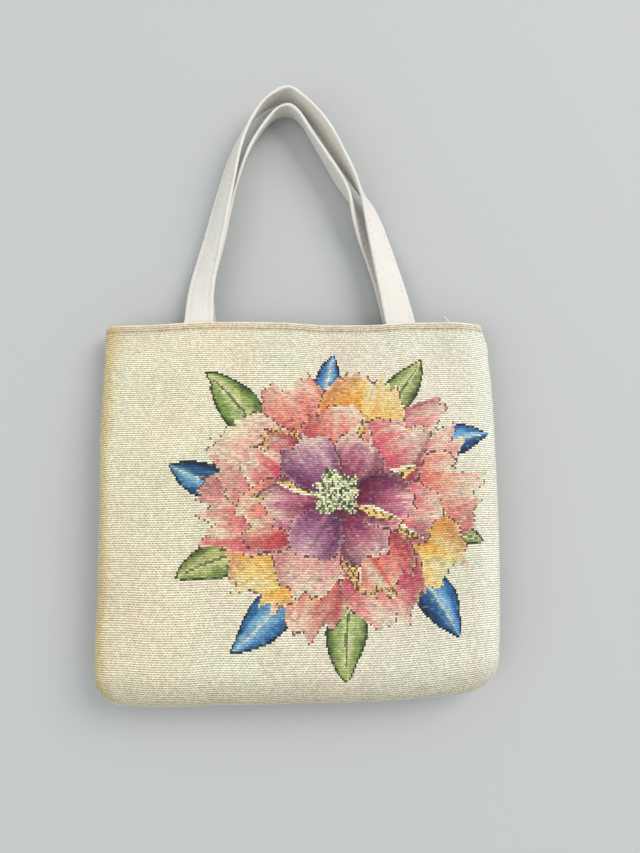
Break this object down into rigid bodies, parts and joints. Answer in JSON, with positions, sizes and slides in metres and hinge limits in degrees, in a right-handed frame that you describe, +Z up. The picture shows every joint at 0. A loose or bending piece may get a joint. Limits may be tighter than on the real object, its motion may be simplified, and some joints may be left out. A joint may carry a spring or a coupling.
{
  "type": "knitting bag",
  "caption": "Small soft tapestry tote for knitting, gusseted sides and bottom, lined, with two sewn cotton strap handles, lying on its back.",
  "frame": {"origin": "middle of the back panel's resting face, where the bag lies on a table", "axes": "+X across the bag, +Y from the bottom of the bag to the rim and the handles, +Z up through the front panel"},
  "size_m": [0.254, 0.4079, 0.035],
  "materials": {
    "tapestry": "ribbed jacquard weave",
    "interlining": "soft felted",
    "lining": "plain cotton",
    "thread": "spun thread",
    "strap_cotton": "plain cotton twill",
    "strap_core": "soft felted"
  },
  "bodies": {
    "bag_back": {"back_panel": "tapestry", "bottom_panel": "tapestry", "left_gusset": "tapestry", "right_gusset": "tapestry", "back_interlining": "interlining", "back_lining": "lining", "bottom_panel_lining": "lining", "left_gusset_lining": "lining", "right_gusset_lining": "lining", "slip_pocket": "lining", "back_hem_stitching": "thread", "back_handle_sewn_ends": "strap_cotton"},
    "bag_front": {"front_panel": "tapestry", "front_interlining": "interlining", "front_lining": "lining", "front_hem_stitching": "thread", "front_handle_sewn_ends": "strap_cotton"},
    "front_handle": {"front_handle_cover": "strap_cotton", "front_handle_core": "strap_core", "front_handle_stitching": "thread"},
    "back_handle": {"back_handle_cover": "strap_cotton", "back_handle_core": "strap_core", "back_handle_stitching": "thread"}
  },
  "joints": [
    {"name": "mouth_open", "type": "hinge", "parent": "bag_back", "child": "bag_front", "pos_m": [0, -0.1205, 0.0145], "axis": [1, 0, 0], "range_deg": [0, 9]},
    {"name": "front_handle_swing", "type": "hinge", "parent": "bag_front", "child": "front_handle", "pos_m": [0, 0.1215, 0.0186], "axis": [1, 0, 0], "range_deg": [0, 160]},
    {"name": "back_handle_swing", "type": "hinge", "parent": "bag_back", "child": "back_handle", "pos_m": [0, 0.1215, -0.0002], "axis": [1, 0, 0], "range_deg": [-165, 0]}
  ]
}
